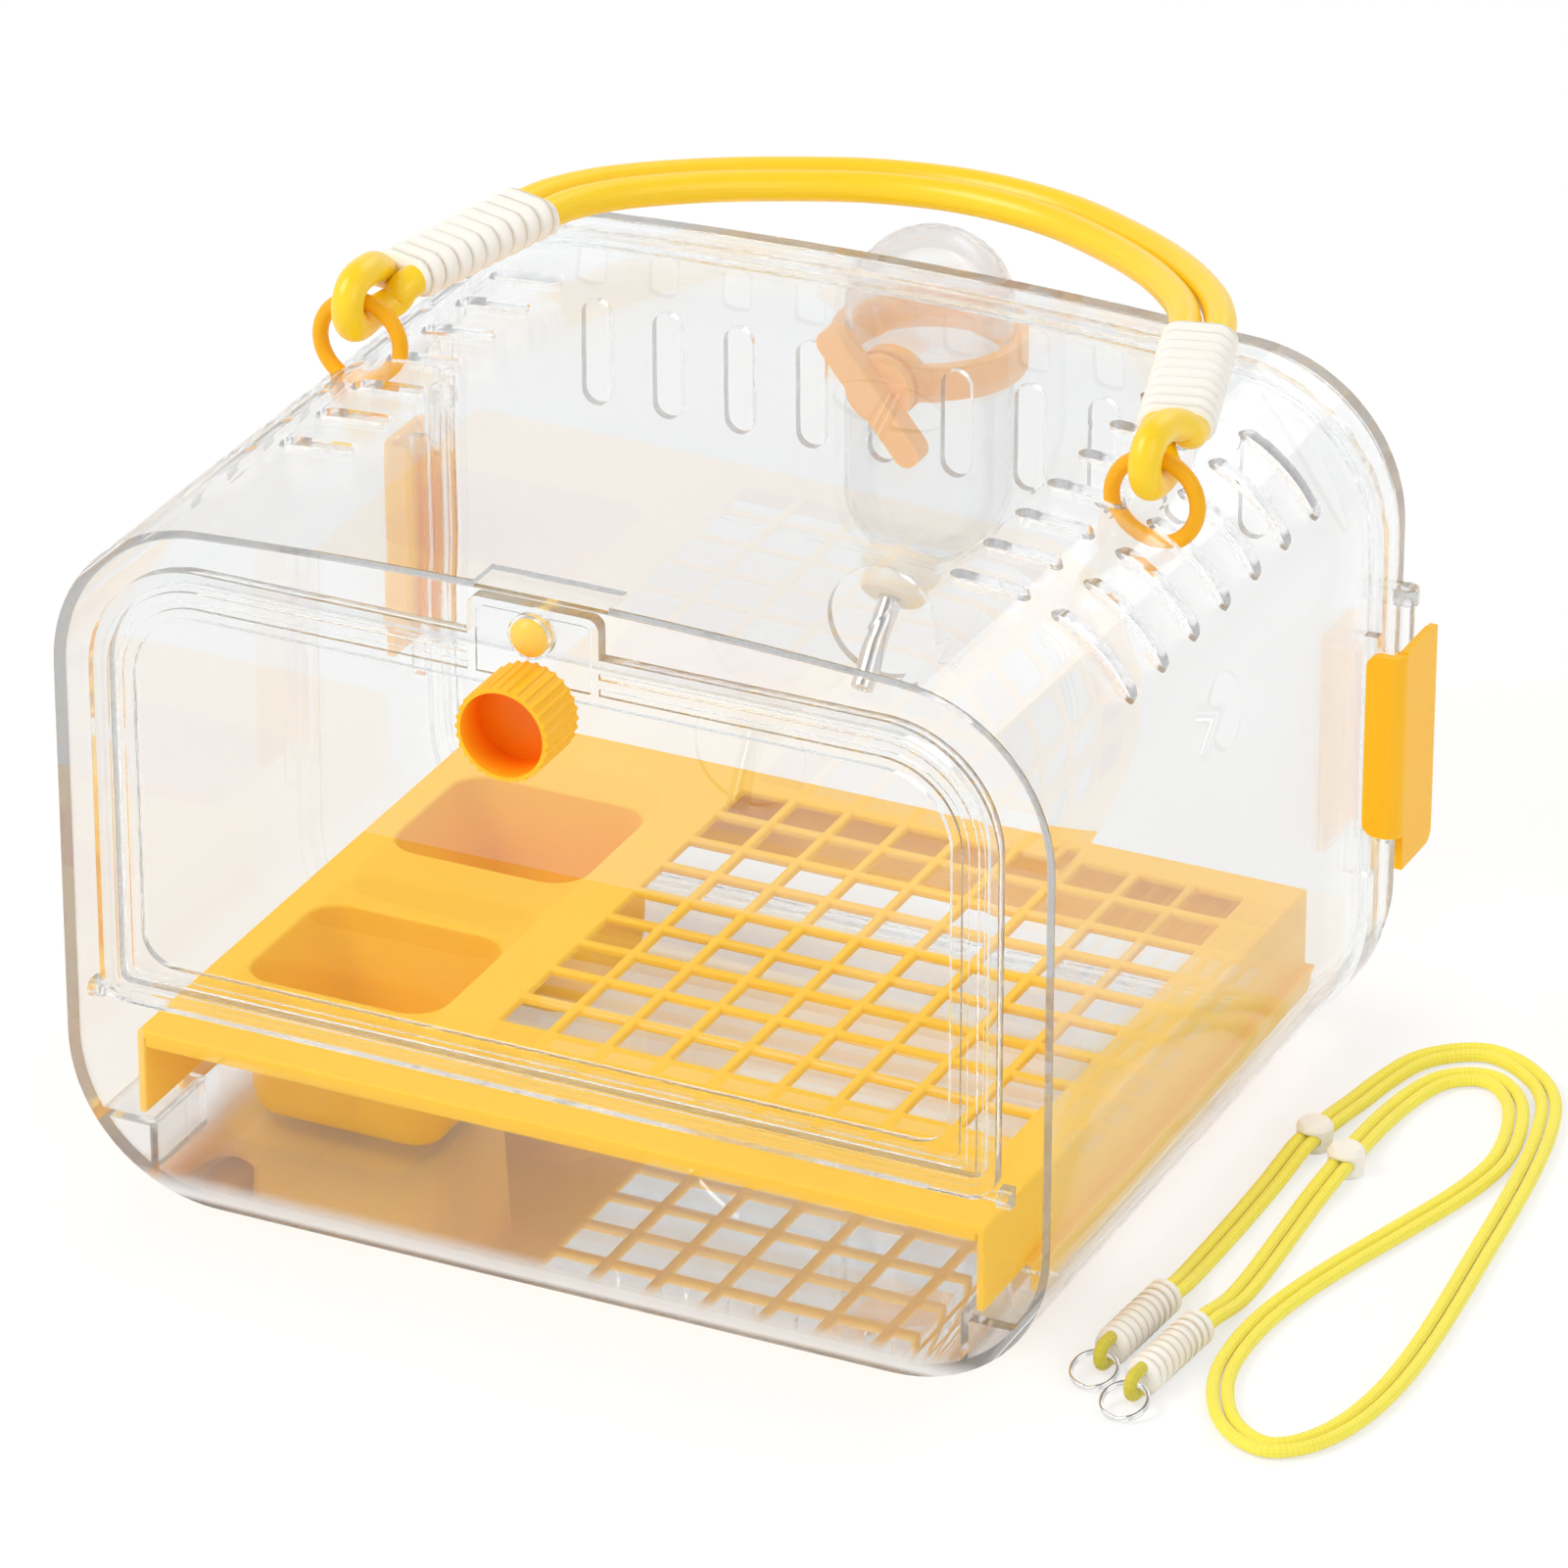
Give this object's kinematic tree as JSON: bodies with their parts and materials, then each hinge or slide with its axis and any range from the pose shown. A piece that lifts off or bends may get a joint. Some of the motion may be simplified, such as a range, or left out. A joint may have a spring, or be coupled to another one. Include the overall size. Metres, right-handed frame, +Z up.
{
  "type": "bird travel carrier",
  "caption": "Clear tunnel-shaped bird carrier with drop-down front door, cup-and-grate deck, clipped rear cover, clamped drinking bottle, cord handle and shoulder strap.",
  "frame": {"origin": "middle of the cabin's flat floor on the ground, halfway between the outside faces of front and rear wall", "axes": "+X to the right seen from the front door, +Y to the rear cover and bottle, +Z up"},
  "size_m": [0.3442, 0.282, 0.2035],
  "materials": {
    "clear_plastic": "polished clear moulded polycarbonate",
    "bottle_plastic": "clear blown bottle plastic",
    "yellow_plastic": "satin moulded yellow plastic",
    "knob_yellow": "satin moulded yellow plastic",
    "clip_yellow": "satin moulded yellow plastic",
    "apricot_plastic": "satin apricot plastic",
    "ring_plastic": "moulded orange-yellow ring",
    "handle_cord": "smooth round braided cord",
    "sleeve_white": "white ribbed sleeve",
    "strap_cord": "light yellow braided cord",
    "white_plastic": "white moulded plastic",
    "seal_rubber": "translucent silicone",
    "steel": "polished stainless steel"
  },
  "bodies": {
    "cabin": {"shell": "clear_plastic", "rear_cover": "clear_plastic", "clip_rod_left": "clear_plastic", "clip_rod_right": "clear_plastic", "deck": "yellow_plastic", "grate": "yellow_plastic", "cup_front": "yellow_plastic", "cup_rear": "yellow_plastic", "bottle": "bottle_plastic", "bottle_clamp": "apricot_plastic", "strap_cord_outer": "strap_cord", "strap_cord_inner": "strap_cord", "strap_sleeve_a": "sleeve_white", "strap_sleeve_b": "sleeve_white", "strap_loop_a": "strap_cord", "strap_loop_b": "strap_cord", "strap_ring_a": "steel", "strap_ring_b": "steel", "strap_slider_a": "white_plastic", "strap_slider_b": "white_plastic"},
    "front_door": {"door": "clear_plastic", "knob_stud": "knob_yellow"},
    "latch": {"latch_button": "yellow_plastic"},
    "door_knob": {"knob": "knob_yellow"},
    "clip_left": {"side_clip_left": "clip_yellow"},
    "clip_right": {"side_clip_right": "clip_yellow"},
    "bottle_spout": {"bottle_cap": "white_plastic", "cap_seal": "seal_rubber", "drinking_tube": "steel"},
    "valve": {"valve_ball": "steel"},
    "wing": {"clamp_wing": "apricot_plastic"},
    "ring_l": {"ring_left": "ring_plastic"},
    "ring_r": {"ring_right": "ring_plastic"},
    "handle": {"handle_cord": "handle_cord", "handle_sleeve_left": "sleeve_white", "handle_sleeve_right": "sleeve_white"}
  },
  "joints": [
    {"name": "door_hinge", "type": "hinge", "parent": "cabin", "child": "front_door", "pos_m": [0, -0.1074, 0.0552], "axis": [1, 0, 0], "range_deg": [0, 100]},
    {"name": "latch_press", "type": "slide", "parent": "front_door", "child": "latch", "axis": [0, 1, 0], "range_m": [0, 0.0014], "stiffness_N_per_m": 400, "springref_m": -0.001},
    {"name": "knob_turn", "type": "hinge", "parent": "front_door", "child": "door_knob", "pos_m": [0, -0.112, 0.157], "axis": [0, 1, 0], "continuous": true},
    {"name": "clip_left_swing", "type": "hinge", "parent": "cabin", "child": "clip_left", "pos_m": [-0.1345, 0.097, 0.086], "axis": [0, 0, -1], "range_deg": [0, 95]},
    {"name": "clip_right_swing", "type": "hinge", "parent": "cabin", "child": "clip_right", "pos_m": [0.1345, 0.097, 0.086], "axis": [0, 0, 1], "range_deg": [0, 95]},
    {"name": "cap_turn", "type": "hinge", "parent": "cabin", "child": "bottle_spout", "pos_m": [-0.01, 0.1315, 0.11], "axis": [0, -0.7071, -0.7071], "continuous": true},
    {"name": "valve_lift", "type": "slide", "parent": "bottle_spout", "child": "valve", "axis": [0, 0.7071, 0.7071], "range_m": [0, 0.0012]},
    {"name": "wing_turn", "type": "hinge", "parent": "cabin", "child": "wing", "pos_m": [-0.01, 0.1, 0.148], "axis": [0, 1, 0], "range_deg": [-51, 39]},
    {"name": "ring_left_turn", "type": "hinge", "parent": "cabin", "child": "ring_l", "pos_m": [-0.10548, 0.006, 0.18221], "axis": [0, 1, 0], "continuous": true},
    {"name": "ring_right_turn", "type": "hinge", "parent": "cabin", "child": "ring_r", "pos_m": [0.10548, 0.006, 0.18221], "axis": [0, 1, 0], "continuous": true},
    {"name": "handle_swing", "type": "hinge", "parent": "cabin", "child": "handle", "pos_m": [0, 0.006, 0.19321], "axis": [1, 0, 0], "range_deg": [0, 175]}
  ]
}
